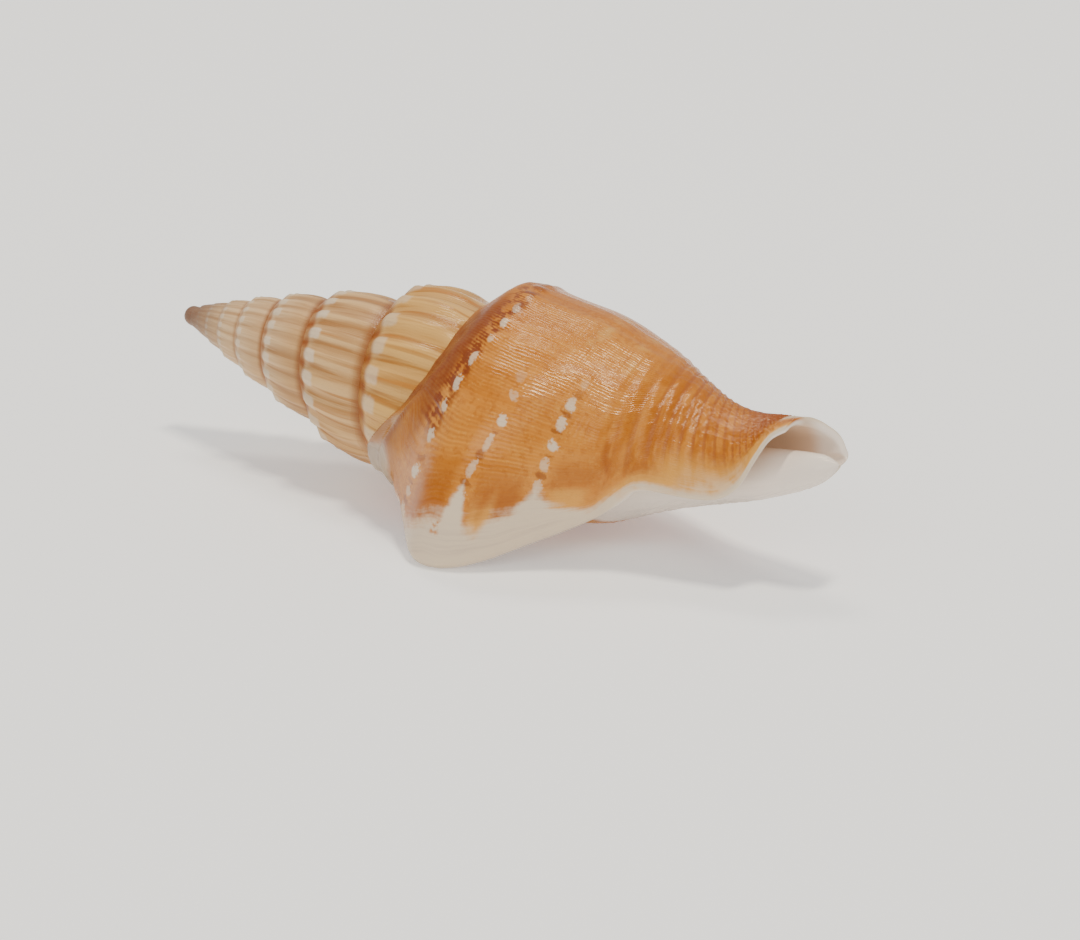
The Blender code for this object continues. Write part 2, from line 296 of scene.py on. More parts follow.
def carved_point(back, run):
    """A point of the outside with its threads, knobs and growth ridges."""
    place, radius, angle = body_profile(back, run)
    calm = ease(run, 0.0, 0.05) * ease(run, 1.0, 0.93) * ease(back, 360, 300) * ease(back, 0, 3)
    relief = threads(back, run) * ease(back, 2, 14) + shoulder_knobs(back, run)
    relief = relief + curve(FAR_SIDE, run) * ease(back, 85, 115) * ease(back, 210, 160)
    relief = relief + BELLY_RISE * np.exp(-((run - BELLY_RUN) / 0.08) ** 2 - ((back - BELLY_BACK) / 22) ** 2)
    relief = relief + wrinkles(back, share_of_whorl(back, place)) * ease(back, 6, 25)
    return put(place, radius + relief * calm, angle)


def pillar_point(back, run):
    return put(*plain_profile(back, run), LIP_ANGLE - back)


def unit(vectors):
    return vectors / np.linalg.norm(vectors, axis=-1, keepdims=True)


def inner_point(back, run):
    """A point of the inner wall, straight under the outer one."""
    wall = WALL + (LIP_WALL - WALL) * ease(back, LIP_WALL_SPAN, 0) * ease(run, 0.72, 0.45)
    wall = wall * (1 - 0.45 * ease(run, 0.62, 0.78) * ease(back, 70, 10))
    wall = wall * (1 - ease(run, 0.94, 1.0) * ease(back, 190, CANAL_SPAN))
    growing = unit(body_point(back - 0.5, run) - body_point(back + 0.5, run))
    forward = unit(body_point(back, np.minimum(run + 0.002, 1)) - body_point(back, run - 0.002))
    square = unit(np.cross(growing, forward))
    place, radius, angle = body_profile(back, run)
    radial = put(place, radius + 1, angle) - put(place, radius, angle)
    outward = unit(square + (radial - square) * ease(run, 0.7, 0.85)[..., None])
    return body_point(back, run) - outward * wall[..., None]


def corner_place(back):
    """Where the inner wall stands on the whorl before."""
    return seam(back)[0] + LIP_WALL


# ---- Sheets of the surface: rows of points with their growth coordinates ----

WHORL_SHARES = np.concatenate(([0.0], np.cumsum(np.linspace(0.6, 1.2, WHORL_COLUMNS))))
WHORL_SHARES = WHORL_SHARES / WHORL_SHARES[-1]
OUTSIDE, INSIDE = 0.0, 1.0


def coordinates(back, place, run, side):
    """(turns back, share of the whorl, run, side) at each point."""
    back, place, run, side = np.broadcast_arrays(back, place, run, side)
    return np.stack((back / 360, share_of_whorl(back, place), run, side), axis=-1)


def body_columns(count):
    share = np.linspace(0, 1, count + 1)
    return curve(((0, 0), (0.3, 0.15), (0.55, 0.33), (0.78, 0.68), (0.9, 0.91), (1, 1)), share)


def hidden_columns():
    """Runs of the columns one turn back from the lip, where the lip stands on the whorl before it."""
    first, _ = seam_line(360.0)
    foot, _ = seam(0.0)
    covered = run_at(360.0, first + (foot - first) * WHORL_SHARES)
    under_lip = run_at(360.0, foot + LIP_WALL * np.linspace(0, 1, EDGE_ROWS)[1:])
    left = BODY_COLUMNS + 1 - len(covered) - len(under_lip)
    rest = curve(((0, under_lip[-1]), (0.65, 0.75), (0.85, 0.94), (1, 1)), np.linspace(0, 1, left + 1))
    return np.concatenate((covered, under_lip, rest[1:]))


def turn_steps(end=360.0):
    """Degrees back of the rows in one turn, closer together on the open side."""
    fine = np.arange(0, FINE_SPAN, FINE_STEP)
    coarse = np.arange(FINE_SPAN, end + 0.1, COARSE_STEP)
    return np.concatenate((fine, coarse))[:, None]


def last_whorl():
    back = turn_steps()
    columns, hidden = body_columns(BODY_COLUMNS), hidden_columns()
    run = columns + (hidden - columns) * ease(back, 250, 360)
    points = carved_point(back, run)
    points[-1] = pillar_point(360.0, hidden)
    place, _, _ = body_profile(back, run)
    return points, coordinates(back, place, run, OUTSIDE)


def spire():
    older = np.arange(720 + COARSE_STEP, 360 * TURNS + 0.1, COARSE_STEP)[:, None]
    back = np.concatenate((360 + turn_steps(), older))
    first, _ = seam_line(back)
    last, _ = seam_line(back - 360)
    place = first + (last - first) * curve(CLIMB, back - 360) * WHORL_SHARES
    points = put(place, tube_radius(back, place), LIP_ANGLE - back)
    return points, coordinates(back, place, run_at(back, place), OUTSIDE)


def tip_dome():
    """From the worn tip down to the first turn's seam."""
    back = np.arange(360 * TURNS - 360, 360 * TURNS + 0.1, COARSE_STEP)[:, None]
    quarter = np.linspace(0, np.pi / 2, 9)
    place, radius = seam_line(back)
    tip = seam_line(360 * TURNS)[0] - TIP_DOME
    bluntness = 1.5 - 0.6 * ease(back, back[0], back[-1])
    rise = (1 - np.cos(quarter)) ** bluntness
    place = tip + (place - tip) * rise
    points = put(place, radius * np.sin(quarter), LIP_ANGLE - back)
    return points, coordinates(back, place, run_at(back, place), OUTSIDE)


def cavity_steps():
    return turn_steps(CANAL_SPAN)


def clear_of_whorl(points):
    """Lifts points off the whorl that the mouth opens on, where they would sink into it."""
    place = points[..., 0]
    across = -points[..., 1]
    up = points[..., 2] - curve(BEND, place)
    angle = np.degrees(np.arctan2(across, up))
    back = LIP_ANGLE - angle + 360
    gap = MOUTH_GAP * ease(place - corner_place(back - 360), 0, 2) * ease(place, FRONT_END, FRONT_END - 6)
    floor = plain_profile(back, run_at(back, place))[1] + gap
    return put(place, np.maximum(np.hypot(across, up), floor), angle)


def inner_wall():
    """The inside of the last whorl. Its first column stands on the whorl before."""
    back = cavity_steps()
    run = INNER_START + (1 - INNER_START) * body_columns(BODY_COLUMNS)
    points = clear_of_whorl(inner_point(back, run))
    place = corner_place(back)
    points[:, :1] = put(place, tube_radius(back + 360, place), LIP_ANGLE - back)
    return points, coordinates(back, points[..., 0], run, INSIDE)


def pillar():
    """The whorl before, seen from inside the mouth, and the pillar down to the front end."""
    back = cavity_steps()
    start = run_at(back + 360, corner_place(back))
    under = hidden_columns()[len(WHORL_SHARES) + EDGE_ROWS - 2:]
    share = (under - under[0]) / (1 - under[0])
    run = start + (1 - start) * share
    place, _ = plain_profile(back + 360, run)
    return pillar_point(back + 360, run), coordinates(back + 360, place, run, INSIDE)


def rolled_edge(outer, inner, whorl_row):
    """The rounded edge of the lip and of the canal's rim, between the outer and the inner wall."""
    count = len(inner)
    outside = np.concatenate((outer[0], outer[1:count, -1]))
    inside = np.concatenate((inner[0], inner[1:, -1]))
    along = np.gradient(outside, axis=0)
    across = inside - outside
    outward = np.cross(across, along)
    outward[:-1] = unit(outward[:-1])
    thickness = np.linalg.norm(across, axis=-1, keepdims=True)
    half_turn = np.linspace(0, np.pi, EDGE_ROWS)[:, None, None]
    middle = (outside + inside) / 2
    swept = middle + (outside - middle) * np.cos(half_turn)
    swept = swept + EDGE_ROUNDING * thickness * outward * np.sin(half_turn)
    foot = len(WHORL_SHARES) - 1
    swept[:, 0] = whorl_row[foot:foot + EDGE_ROWS]
    swept[0], swept[-1] = outside, inside
    run = np.concatenate((body_columns(BODY_COLUMNS), np.ones(count - 1)))
    back = np.concatenate((np.zeros(len(outer[0])), cavity_steps()[1:, 0]))
    side = np.linspace(OUTSIDE, INSIDE, EDGE_ROWS)[:, None]
    return swept, coordinates(back, outside[:, 0], run, side)


# ---- Making the shell ----

def deselect():
    if bpy.context.mode != "OBJECT":
        bpy.ops.object.mode_set(mode="OBJECT")
    bpy.ops.object.select_all(action="DESELECT")


def thin_sheet(name, points, marks):
    """A grid laid over the points, given in rows, with two UV maps of growth coordinates."""
    rows, columns = points.shape[:2]
    deselect()
    bpy.ops.mesh.primitive_grid_add(x_subdivisions=columns - 1, y_subdivisions=rows - 1, size=1.0)
    piece = bpy.context.object
    piece.name = name
    mesh = piece.data
    mesh.vertices.foreach_set("co", (points * MM).astype(np.float32).ravel())
    corners = np.empty(len(mesh.loops), np.int32)
    mesh.loops.foreach_get("vertex_index", corners)
    flat = marks.reshape(-1, 4)[corners].astype(np.float32)
    while mesh.uv_layers:
        mesh.uv_layers.remove(mesh.uv_layers[0])
    for layer_name, columns_used in (("growth", (0, 1)), ("front", (2, 3))):
        layer = mesh.uv_layers.new(name=layer_name)
        layer.data.foreach_set("uv", flat[:, columns_used].ravel())
    return piece


def close_shell(sheets):
    """Joins the sheets along their shared edges, fills the two ends and turns the faces outwards."""
    deselect()
    for piece in sheets:
        piece.select_set(True)
    bpy.context.view_layer.objects.active = sheets[0]
    bpy.ops.object.join()
    shell = bpy.context.object
    bpy.ops.object.mode_set(mode="EDIT")
    bpy.ops.mesh.select_all(action="SELECT")
    bpy.ops.mesh.remove_doubles(threshold=WELD * MM)
    bpy.ops.mesh.dissolve_degenerate(threshold=WELD * MM)
    bpy.ops.mesh.select_all(action="SELECT")
    bpy.ops.mesh.fill_holes(sides=0)
    bpy.ops.mesh.select_all(action="SELECT")
    bpy.ops.mesh.normals_make_consistent(inside=False)
    bpy.ops.object.mode_set(mode="OBJECT")
    return shell


def enclosed_volume(mesh):
    mesh.calc_loop_triangles()
    places = np.empty(len(mesh.vertices) * 3, np.float32)
    mesh.vertices.foreach_get("co", places)
    corners = np.empty(len(mesh.loop_triangles) * 3, np.int32)
    mesh.loop_triangles.foreach_get("vertices", corners)
    return np.linalg.det(places.reshape(-1, 3).astype(float)[corners.reshape(-1, 3)]).sum() / 6


def lay_down(shell):
    """Turns the shell as it lies, sets it in the solid's place and wears its lowest spots flat."""
    turned = Matrix.Rotation(math.radians(PITCH), 4, "Y") @ Matrix.Rotation(math.radians(ROLL), 4, "X")
    shell.data.transform(turned)
    places = np.empty(len(shell.data.vertices) * 3, np.float32)
    shell.data.vertices.foreach_get("co", places)
    places = places.reshape(-1, 3)
    low, high = places.min(axis=0), places.max(axis=0)
    middle = (CAD_BOX[0][1] + CAD_BOX[1][1] - low[1] - high[1]) / 2
    places = places + np.array((CAD_BOX[1][0] - high[0], middle, -low[2] - FOOT_FLAT * MM))
    places[:, 2] = np.maximum(places[:, 2], 0.0)
    shell.data.vertices.foreach_set("co", places.astype(np.float32).ravel())
    shell.data.update()


def make_shell():
    outer, outer_marks = last_whorl()
    inner, inner_marks = inner_wall()
    sheets = [
        thin_sheet("conch_shell", outer, outer_marks),
        thin_sheet("spire", *spire()),
        thin_sheet("tip", *tip_dome()),
        thin_sheet("inner_wall", inner, inner_marks),
        thin_sheet("pillar", *pillar()),
        thin_sheet("lip_edge", *rolled_edge(outer, inner, outer[-1])),
    ]
    shell = close_shell(sheets)
    if enclosed_volume(shell.data) < 0:
        shell.data.flip_normals()
    lay_down(shell)
    bpy.ops.object.shade_smooth_by_angle(angle=math.radians(SMOOTH_ANGLE))
    return shell


# ---- Materials ----

def paint(red, green, blue):
    """A colour given as it looks, 0 to 255."""
    def linear(value):
        value = value / 255
        return value / 12.92 if value <= 0.04045 else ((value + 0.055) / 1.055) ** 2.4
    return (linear(red), linear(green), linear(blue), 1.0)


class Field:
    """A socket in a material, with arithmetic that adds Math nodes."""

    def __init__(self, bench, socket):
        self.bench = bench
        self.socket = socket

    def math(self, operation, *others):
        sockets = {0: self, **dict(enumerate(others, 1))}
        return self.bench.node("ShaderNodeMath", {"operation": operation}, sockets)

    def reflected(self, operation, other):
        return self.bench.node("ShaderNodeMath", {"operation": operation}, {0: other, 1: self})

    def __add__(self, other): return self.math("ADD", other)
    def __radd__(self, other): return self.math("ADD", other)
    def __sub__(self, other): return self.math("SUBTRACT", other)
    def __rsub__(self, other): return self.reflected("SUBTRACT", other)
    def __mul__(self, other): return self.math("MULTIPLY", other)
    def __rmul__(self, other): return self.math("MULTIPLY", other)
    def __truediv__(self, other): return self.math("DIVIDE", other)
    def __pow__(self, other): return self.math("POWER", other)

    def twin(self, output):
        """Another output of the same node."""
        return Field(self.bench, self.socket.node.outputs[output])

    def sin(self): return self.math("SINE")
    def cos(self): return self.math("COSINE")
    def part(self): return self.math("FRACT")
    def whole(self): return self.math("FLOOR")
    def size(self): return self.math("ABSOLUTE")
    def most(self, other): return self.math("MAXIMUM", other)

    def ease(self, start, end):
        """0 at start and 1 at end, smoothly; start may lie past end."""
        eased = self.bench.node(
            "ShaderNodeMapRange", {"interpolation_type": "SMOOTHSTEP"},
            {"Value": self, "From Min": min(start, end), "From Max": max(start, end)}, "Result")
        return 1.0 - eased if start > end else eased

    def band(self, middle, half_width, soft):
        """1 within half_width of the middle, fading over soft."""
        return (self - middle).size().ease(half_width + soft, half_width)


class Bench:
    """Adds nodes to one material."""

    def __init__(self, name):
        self.material = bpy.data.materials.new(name)
        self.material.use_nodes = True
        self.tree = self.material.node_tree
        self.surface = self.tree.nodes["Principled BSDF"]

    def node(self, kind, settings=None, sockets=None, output=0):
        """A new node: its settings are set first, then the values or links of its sockets."""
        made = self.tree.nodes.new(kind)
        for name, value in (settings or {}).items():
            if name == "stops":
                self.set_stops(made.color_ramp, value)
            else:
                setattr(made, name, value)
        for name, value in (sockets or {}).items():
            self.plug(made.inputs[name], value)
        return Field(self, made.outputs[output])

    def plug(self, socket, value):
        if isinstance(value, Field):
            self.tree.links.new(value.socket, socket)
        else:
            socket.default_value = value

    def set_stops(self, ramp, stops):
        """Gives a ramp its stops, each a place and a grey level."""
        while len(ramp.elements) < len(stops):
            ramp.elements.new(0.5)
        for element, (place, level) in zip(ramp.elements, stops):
            element.position = place
            element.color = (level, level, level, 1.0)

    def set_surface(self, values):
        for name, value in values.items():
            self.plug(self.surface.inputs[name], value)

    def mix(self, amount, first, second):
        """Blends from the first colour to the second: inputs 6 and 7 and output 2 hold the colours."""
        return self.node(
            "ShaderNodeMix", {"data_type": "RGBA", "clamp_factor": True}, {0: amount, 6: first, 7: second}, 2)

    def ramp(self, value, stops):
        return self.node("ShaderNodeValToRGB", {"stops": stops}, {0: value})

    def vector(self, x, y, z=0.0):
        return self.node("ShaderNodeCombineXYZ", None, {0: x, 1: y, 2: z})

    def noise(self, place, scale=1.0, detail=2.0, roughness=0.5):
        return self.node(
            "ShaderNodeTexNoise", None,
            {"Vector": place, "Scale": scale, "Detail": detail, "Roughness": roughness})

    def chance(self, x, y):
        """A random value for each pair of whole numbers."""
        return self.node("ShaderNodeTexWhiteNoise", {"noise_dimensions": "2D"}, {0: self.vector(x, y)})


TAN = paint(210, 138, 54)
ORANGE = paint(184, 106, 16)
DEEP_ORANGE = paint(158, 80, 4)
OCHRE = paint(222, 160, 72)
SHOULDER = paint(132, 70, 30)
RED_BROWN = paint(122, 50, 8)
ROSE_BROWN = paint(148, 76, 42)
CREAM = paint(216, 168, 92)
GREY_CREAM = paint(222, 192, 154)
SAND = paint(164, 104, 38)
CHALK = paint(216, 196, 168)
GLAZE = paint(238, 224, 210)
# Painted shade deep in the canal, and the colour of the painted glow there.
THROAT_SHADE_AND_GLOW = paint(198, 166, 136)
EDGE_GREY = paint(186, 166, 150)
AMBER = paint(196, 148, 88)
# Painted shade on the lip's white margin.
MARGIN_SHADE = paint(158, 134, 110)
DULL_BROWN = paint(168, 124, 80)
TIP_MAUVE = paint(118, 84, 68)
DARK = paint(0, 0, 0)

# Rows of dashes round the last whorl: run, degrees between dashes, first dash, last dash, how much closer
# the dashes come towards the lip, and how far the row bows forward before the lip.
DASH_ROWS = (
    (0.153, 10.7, 0.5, 104.0, 0.4, 0.0),
    (0.280, 9.4, 0.6, 66.0, 0.0, 0.015),
    (0.412, 9.7, 4.6, 78.0, 0.0, 0.0),
)
# The width of the lip's white margin, in units of MARGIN_SPAN degrees: run, width.
MARGIN_SPAN = 50.0
MARGIN_WIDTH = (
    (0.0, 0.10), (0.08, 0.14), (0.125, 0.20), (0.20, 0.25), (0.255, 0.28), (0.277, 0.50), (0.298, 0.24),
    (0.325, 0.17), (0.345, 0.27), (0.38, 0.29), (0.41, 0.48), (0.44, 0.32), (0.47, 0.26), (0.51, 0.16),
    (0.57, 0.05), (0.80, 0.05), (0.94, 0.07), (1.0, 0.10),
)
RELIEF_STRENGTH = 0.35
RELIEF_DEPTH = 0.00025
MOUTH_GLOW = 0.22
WARM_SHEEN = (1.0, 0.82, 0.56, 1)


class ShellPaint(Bench):
    """The shell's colours, laid on in turn over its growth coordinates and its grain."""

    def __init__(self):
        super().__init__("glossy_conch")
        growth = self.node("ShaderNodeUVMap", {"uv_map": "growth"})
        front = self.node("ShaderNodeUVMap", {"uv_map": "front"})
        turns = self.turns = self.node("ShaderNodeSeparateXYZ", None, {0: growth})
        share = self.share = turns.twin(1)
        run = self.run = self.node("ShaderNodeSeparateXYZ", None, {0: front})
        self.side = run.twin(1)
        back = self.back = turns * 360.0
        spot = self.node("ShaderNodeTexCoord", None, None, "Object")
        self.along = self.node("ShaderNodeSeparateXYZ", None, {0: spot}) * (1 / MM)

        # Lines of growth sweep forward near the seam, and the threads wind slowly round the front.
        sweep = run.ease(0.24, 0.12) * run.ease(0.05, 0.10) * back.ease(46.0, 12.0)
        line = self.line = back + sweep * 14.0
        wind = self.wind = run + back * (run.ease(*THREADS_TURN) * THREAD_SPREAD + THREAD_DRIFT)
        drift = self.drift = self.noise(self.vector(turns * 11.0, share * 2.5), 1.0, 3.0)
        across = self.across = line + drift * 8.0

        broad = self.noise(self.vector(across * 0.09, run * 1.6, 3.0), 1.0, 3.0, 0.6)
        fine = self.fine = self.noise(self.vector(across * 0.42, run * 3.0, 7.0), 1.0, 3.0, 0.65)
        wound = self.wound = self.noise(self.vector(wind * 34.0, back * 0.035, 2.0), 1.0, 2.0, 0.6)
        mottle = self.mottle = self.noise(spot, 420.0, 4.0, 0.6)
        self.grain = self.noise(spot, 1500.0, 2.0, 0.6)
        self.speck = self.noise(spot, 2800.0, 2.0, 0.6)
        cloud = self.cloud = self.noise(spot, 130.0, 2.0, 0.5)
        self.comb = (line * 4.2 + drift * 12.0 + run * 20.0 + mottle * 5.0).sin() * 0.5 + 0.5

        front_part = self.front_part = run.ease(0.44, 0.56)
        axial = broad * 0.5 + fine * 0.3 + cloud * 0.2
        self.ground = (axial + (wound * 0.8 + cloud * 0.2 - axial) * front_part).ease(0.36, 0.64)
        combed = run.band(0.21, 0.05, 0.03) * back.band(52.0, 18.0, 8.0)
        combed = combed.most(run.band(0.345, 0.03, 0.02) * back.band(47.0, 14.0, 6.0))
        self.combed = combed * mottle.ease(0.35, 0.55)
        self.slope = run.ease(0.14, 0.10) * line.ease(24.0, 44.0)
        self.corner = run.ease(0.10, 0.03) * back.ease(14.0, 3.0)
        # Deep in the canal: painted shade in the colour, and a painted glow as of light through the thin
        # wall.
        self.deep_shade_and_glow = back.ease(25.0, 60.0) * turns.ease(0.9, 0.8) * self.along.ease(33.4, 31.4)

    def base_colour(self):
        """Axial streaks behind, streaks along the threads in front, with grooves between the threads that are
        partly their own redder brown and partly painted shade.
        """
        run, back, wound, comb = self.run, self.back, self.wound, self.comb
        behind = 1.0 - self.front_part * 0.6
        colour = self.mix(self.ground * (0.95 - 0.45 * self.front_part), ORANGE, TAN)
        colour = self.mix(self.grain.ease(0.48, 0.70) * 0.4 * behind, colour, DEEP_ORANGE)
        colour = self.mix((self.speck + self.mottle).ease(1.02, 1.3) * 0.4 * behind, colour, OCHRE)
        colour = self.mix(comb * self.fine.ease(0.4, 0.6) * 0.18, colour, DEEP_ORANGE)
        warm = run.ease(0.50, 0.62) * back.ease(140.0, 60.0)
        colour = self.mix(warm * 0.5 * wound.ease(0.62, 0.42), colour, DEEP_ORANGE)
        colour = self.mix(comb * self.combed * 0.24, colour, DEEP_ORANGE)
        threads = ((self.wind + self.wind ** 4.0) * (2 * math.pi * THREADS)).cos() * 0.5 + 0.5
        # The grooves between threads: their own redder brown, deepened as painted shade.
        groove_colour_and_shade = threads.ease(0.40, 0.0) * run.ease(0.48, 0.60) * run.ease(0.95, 0.85) * back.ease(8.0, 34.0)
        return self.mix(groove_colour_and_shade * (0.35 + wound * 0.5), colour, self.mix(0.5, DEEP_ORANGE, ROSE_BROWN))

    def flames(self, colour):
        """Dark flames just behind the white margin, and a paler patch and a dark band further forward."""
        run, line, fine = self.run, self.line, self.fine
        flames = run.band(0.215, 0.03, 0.025).most(run.band(0.345, 0.03, 0.025))
        flames = flames * line.ease(11.0, 15.0) * (line + fine * 8.0).ease(40.0, 24.0)
        third = run.band(0.47, 0.025, 0.03) * line.ease(20.0, 27.0) * line.ease(44.0, 30.0)
        flames = flames.most(third * 0.8)
        colour = self.mix(flames * (0.3 + fine * 0.9), colour, DEEP_ORANGE)
        patch = run.band(0.465, 0.015, 0.03) * line.band(18.0, 3.0, 5.0)
        colour = self.mix(patch * 0.6, colour, OCHRE)
        band = self.wind.band(0.545, 0.004, 0.018) * self.back.band(38.0, 16.0, 16.0)
        return self.mix(band * self.wound.ease(0.65, 0.4) * 0.9, colour, DEEP_ORANGE)

    def shoulder_slope(self, colour):
        """Purplish brown behind the shoulder, with a pale collar by the lip and blots along the knobs."""
        run, back, line, comb, cloud = self.run, self.back, self.line, self.comb, self.cloud
        brown = self.mix(comb * 0.5 + self.grain.ease(0.4, 0.6) * 0.5, SHOULDER, RED_BROWN)
        brown = self.mix((self.speck + cloud).ease(1.0, 1.3) * 0.15, brown, SAND)
        brown = self.mix(back.ease(84.0, 120.0), brown, self.mix(self.ground * 0.7, ORANGE, TAN))
        colour = self.mix(self.slope * 0.94, colour, brown)
        pale_slope = run.ease(0.12, 0.06) * line.ease(44.0, 20.0)
        colour = self.mix(pale_slope * 0.8, colour, self.mix(0.3 + comb * 0.4, SAND, SHOULDER))
        collar = run.ease(0.060, 0.045) * back.ease(34.0, 18.0)
        colour = self.mix(collar * 0.8, colour, self.mix(cloud.ease(0.45, 0.58), SAND, CHALK))
        colour = self.mix(run.band(0.055, 0.002, 0.012) * back.ease(40.0, 26.0) * 0.7, colour, SHOULDER)
        blots = self.noise(self.vector(self.across * 0.24, run * 34.0, 5.0), 1.0, 2.0)
        blots = blots + (comb + self.grain) * 0.1
        blotted = run.band(0.135, 0.015, 0.03) * blots.ease(0.52, 0.68) * back.ease(24.0, 38.0)
        return self.mix(blotted * back.ease(170.0, 90.0) * 0.95, colour, RED_BROWN)

    def front_end(self, colour):
        """Redder towards the front, with a cream patch by the lip."""
        run, back, fine, wound = self.run, self.back, self.fine, self.wound
        rosy = self.wind.ease(0.84, 0.96) * back.ease(30.0, 90.0)
        colour = self.mix(rosy * (0.5 + wound * 0.6), colour, ROSE_BROWN)
        golden = run.band(0.79, 0.10, 0.08) * back.ease(42.0, 16.0)
        colour = self.mix(golden * 0.75, colour, OCHRE)
        cream = run.band(0.78, 0.05, 0.05) * (back + fine * 10.0).ease(34.0, 8.0)
        cream = cream * (wound + fine).ease(0.65, 1.1)
        return self.mix(cream * 0.9, colour, GREY_CREAM)

    def dash_row(self, ragged, middle, spacing, first, last, closer, bow):
        """Masks of the white dashes of one row and of the brown flecks between them."""
        back = self.line
        if closer:
            back = back - (45.0 - back).most(0.0) * closer
        back = back + (ragged - 0.5) * 1.6
        run = self.run + (ragged - 0.5) * 0.005
        count = ((back - first) / spacing + 0.5).whole()
        chance = self.chance(count, middle)
        other = self.chance(count, middle + 0.5)
        across = run - middle + (other - 0.5) * 0.005
        if bow:
            across = across - back.band(46.0, 4.0, 16.0) * bow
        across = across / (0.0085 + chance * 0.004)
        along = back - first - count * spacing + (chance - 0.5) * 2.0 + across * 0.7
        length = 1.8 + other * 1.6
        taper = (1.0 + (other - 0.5) * along * 0.25).most(0.4)
        dash = ((along / length) ** 2.0 + across * across * taper + (ragged - 0.5) * 2.6).ease(1.35, 0.45)
        beside = (along.size() - spacing * 0.5) / 1.5
        fleck = (beside * beside + across * across * 0.7 + (ragged - 0.5) * 2.0).ease(1.5, 0.4)
        reach = back.ease(last + 8.0, last - 22.0)
        return dash * reach * (0.5 + chance * 0.5), fleck * reach * other.ease(0.1, 0.6)

    def dashes(self, colour):
        """Rows of white dashes with brown flecks between them, and paler streaks on the far side."""
        run, back = self.run, self.back
        ragged = 0.5 + (self.speck - 0.5) * 0.9 + (self.grain - 0.5) * 0.8 + (self.comb - 0.5) * 0.06
        for row in DASH_ROWS:
            dash, fleck = self.dash_row(ragged, *row)
            colour = self.mix(fleck * 0.6, colour, RED_BROWN)
            colour = self.mix(dash, colour, CHALK)
        far = self.noise(self.vector(back * 0.16, run * 26.0, 9.0), 1.0, 2.0).ease(0.42, 0.66)
        far = far * run.band(0.372, 0.004, 0.024).most(run.band(0.468, 0.004, 0.02) * 0.7)
        return self.mix(far * back.ease(84.0, 96.0) * 0.5, colour, CREAM)

    def white_margin(self, colour):
        """The lip's white margin, wider where a row of dashes meets it, with painted shade towards the lip's
        edge, and the canal's white rim.
        """
        run, back, line, fine, grain = self.run, self.back, self.line, self.fine, self.grain
        edge = line / MARGIN_SPAN + (fine - 0.5) * 0.20 + (grain - 0.5) * 0.08
        inside = self.ramp(run, MARGIN_WIDTH) - edge
        fringe = inside.ease(-0.26, 0.0) * run.ease(0.42, 0.6).most(run.band(0.325, 0.01, 0.02))
        fringe = fringe * (1.0 - run.band(0.79, 0.08, 0.05) * 0.85)
        colour = self.mix(fringe * 0.8, colour, OCHRE)
        colour = self.mix(inside.ease(-0.07, 0.07), colour, CHALK)
        shade = line.ease(0.5, 3.0) * line.ease(14.0, 7.0) * run.ease(0.50, 0.42)
        colour = self.mix(shade * fine.ease(0.42, 0.62) * 0.4, colour, EDGE_GREY)
        # Painted shade: the margin darker towards the lip's edge and its lower end.
        margin_edge_shade = line.ease(11.0, 1.0) * run.ease(0.28, 0.05)
        colour = self.mix(margin_edge_shade * 0.75, colour, MARGIN_SHADE)
        colour = self.mix(self.corner * self.comb * 0.3, colour, EDGE_GREY)
        ticks = run.band(0.25, 0.006, 0.006) * line.band(10.5, 1.2, 1.5) * grain.ease(0.4, 0.6)
        colour = self.mix(ticks * 0.8, colour, ORANGE)
        rim = run.ease(0.930, 0.955) * back.ease(30.0, 60.0)
        return self.mix(rim, colour, CHALK)

    def underside(self, colour):
        """White glaze spreads from the mouth over the underside."""
        callus = self.back - 352.0 + self.run.ease(0.38, 0.60) * 70.0 + (self.mottle - 0.5) * 6.0
        return self.mix(callus.ease(-6.0, 8.0) * self.run.ease(0.08, 0.14), colour, GLAZE)

    def spire_colour(self):
        """Cream with white knobs on the ribs, brown between them at the seam, darker hollows between the ribs
        that are partly the shell's own streaks and partly painted shade, and painted shade under the next
        whorl.
        """
        turns, share, cloud = self.turns, self.share, self.cloud
        ribs = self.back * (RIBS_PER_TURN / 360.0) - (RIB_START * RIBS_PER_TURN / 360.0)
        beads = ((ribs + (cloud - 0.5) * 0.5).part() - 0.5).size() * 2.0
        # Between the ribs: the shell's own darker streaks, deepened as painted shade of the ribs' relief.
        hollow_streak_and_shade = beads.ease(0.8, 0.0)
        thin = self.noise(self.vector(self.back * 0.20, share * 0.5, 4.0), 1.0, 2.0, 0.6)
        colour = self.mix(turns.ease(0.8, 3.6) * 0.9 + cloud * 0.2 - 0.1, CREAM, GREY_CREAM)
        amber = share.ease(0.1, 0.9) * (turns.band(3.1, 0.4, 1.2) * 0.5 + 0.25) * turns.ease(1.7, 2.6)
        colour = self.mix(amber, colour, AMBER)
        streaks = thin.ease(0.44, 0.60) * 0.6 + hollow_streak_and_shade * (0.35 + turns.ease(1.8, 2.2) * 0.35)
        streaks = streaks * share.ease(0.0, 0.3) * (1.0 - turns.ease(2.2, 4.0) * 0.4)
        colour = self.mix(streaks, colour, self.mix(turns.ease(1.6, 2.6), SAND, DULL_BROWN))
        colour = self.mix(thin.ease(0.58, 0.70) * 0.5 * turns.ease(3.4, 1.5), colour, ORANGE)
        knobs = beads.ease(0.1, 0.75) * share.band(0.20, 0.04, 0.14)
        knobs = knobs + (self.mottle - 0.5) * 1.2 + (cloud - 0.5) * 1.2
        knobs = knobs.ease(0.3, 0.75) * share.ease(0.06, 0.14) * share.ease(0.5, 0.35)
        colour = self.mix(knobs * (0.5 + turns.ease(1.8, 2.2) * 0.35), colour, CHALK)
        joint = share.ease(0.18, 0.09) * (0.6 + hollow_streak_and_shade * 0.4) * (cloud + self.grain * 0.4).ease(0.30, 0.58)
